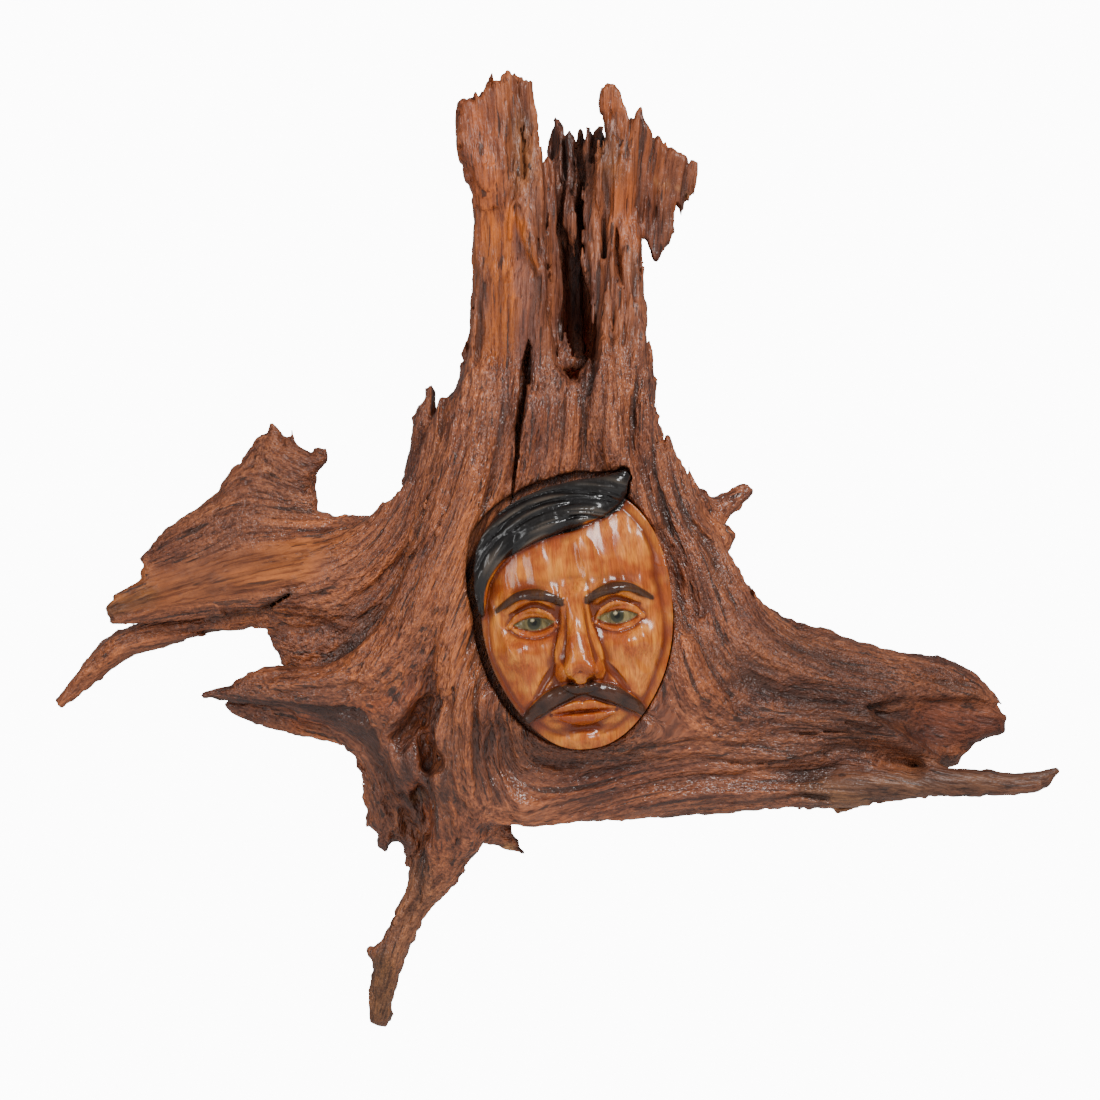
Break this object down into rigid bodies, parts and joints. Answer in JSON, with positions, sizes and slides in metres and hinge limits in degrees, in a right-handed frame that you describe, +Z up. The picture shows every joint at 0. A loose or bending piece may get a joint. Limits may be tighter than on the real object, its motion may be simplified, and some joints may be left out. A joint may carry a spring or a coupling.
{
  "type": "tree face wall sculpture",
  "caption": "Wall-hung folk sculpture: a weathered, hollow-topped stump with spreading roots, and a calm face with swept hair and a moustache carved in its front.",
  "frame": {"origin": "point on the flat sawn back that rests on the wall, behind the middle of the heart of the stump", "axes": "+Y into the wall, so the face looks along -Y; +Z up the trunk; +X to the viewer's right, along the long roots"},
  "size_m": [0.6021, 0.1363, 0.5682],
  "materials": {
    "varnished_wood": "glossy varnish"
  },
  "bodies": {
    "root": {"carved_stump": "varnished_wood"}
  },
  "joints": []
}
